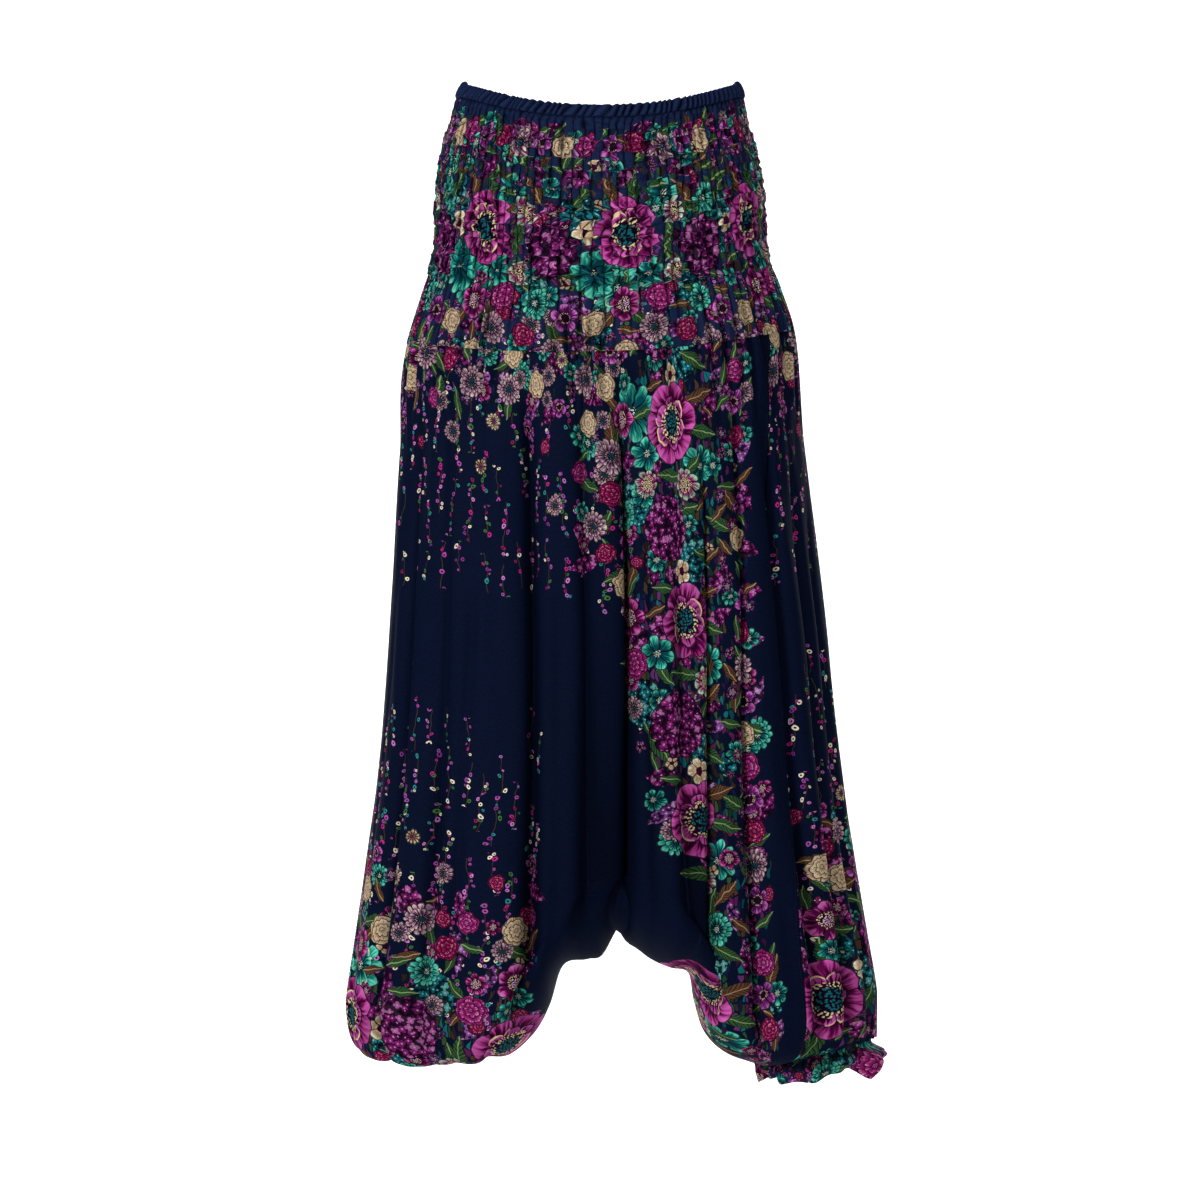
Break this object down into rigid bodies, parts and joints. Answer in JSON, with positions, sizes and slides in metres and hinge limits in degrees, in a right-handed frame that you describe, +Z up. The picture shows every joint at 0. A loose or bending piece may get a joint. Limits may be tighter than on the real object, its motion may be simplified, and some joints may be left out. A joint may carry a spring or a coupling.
{
  "type": "harem pants with a shirred waist",
  "caption": "Loose drop-crotch harem pants in navy floral rayon, shirred hip yoke, elastic waist and ankles, hollow worn shape.",
  "frame": {"origin": "middle of the waist opening, level with the casing at the sides, where a wearer or a waist form holds the garment", "axes": "+Z up, front of the garment towards -Y, wearer's left leg at +X"},
  "size_m": [0.5449, 0.268, 0.9972],
  "materials": {
    "navy_casing": "soft woven rayon, dark navy",
    "floral_yoke": "soft woven rayon, navy ground with a dense floral print, shirred",
    "printed_rayon": "soft woven rayon with a faint sheen, navy ground with floral borders and sprays",
    "floral_cuff": "soft woven rayon, floral print, gathered on elastic"
  },
  "bodies": {
    "root": {"waist_casing": "navy_casing", "yoke_front": "floral_yoke", "yoke_back": "floral_yoke", "front_panel": "printed_rayon", "back_panel": "printed_rayon", "right_cuff": "floral_cuff", "left_cuff": "floral_cuff"}
  },
  "joints": []
}
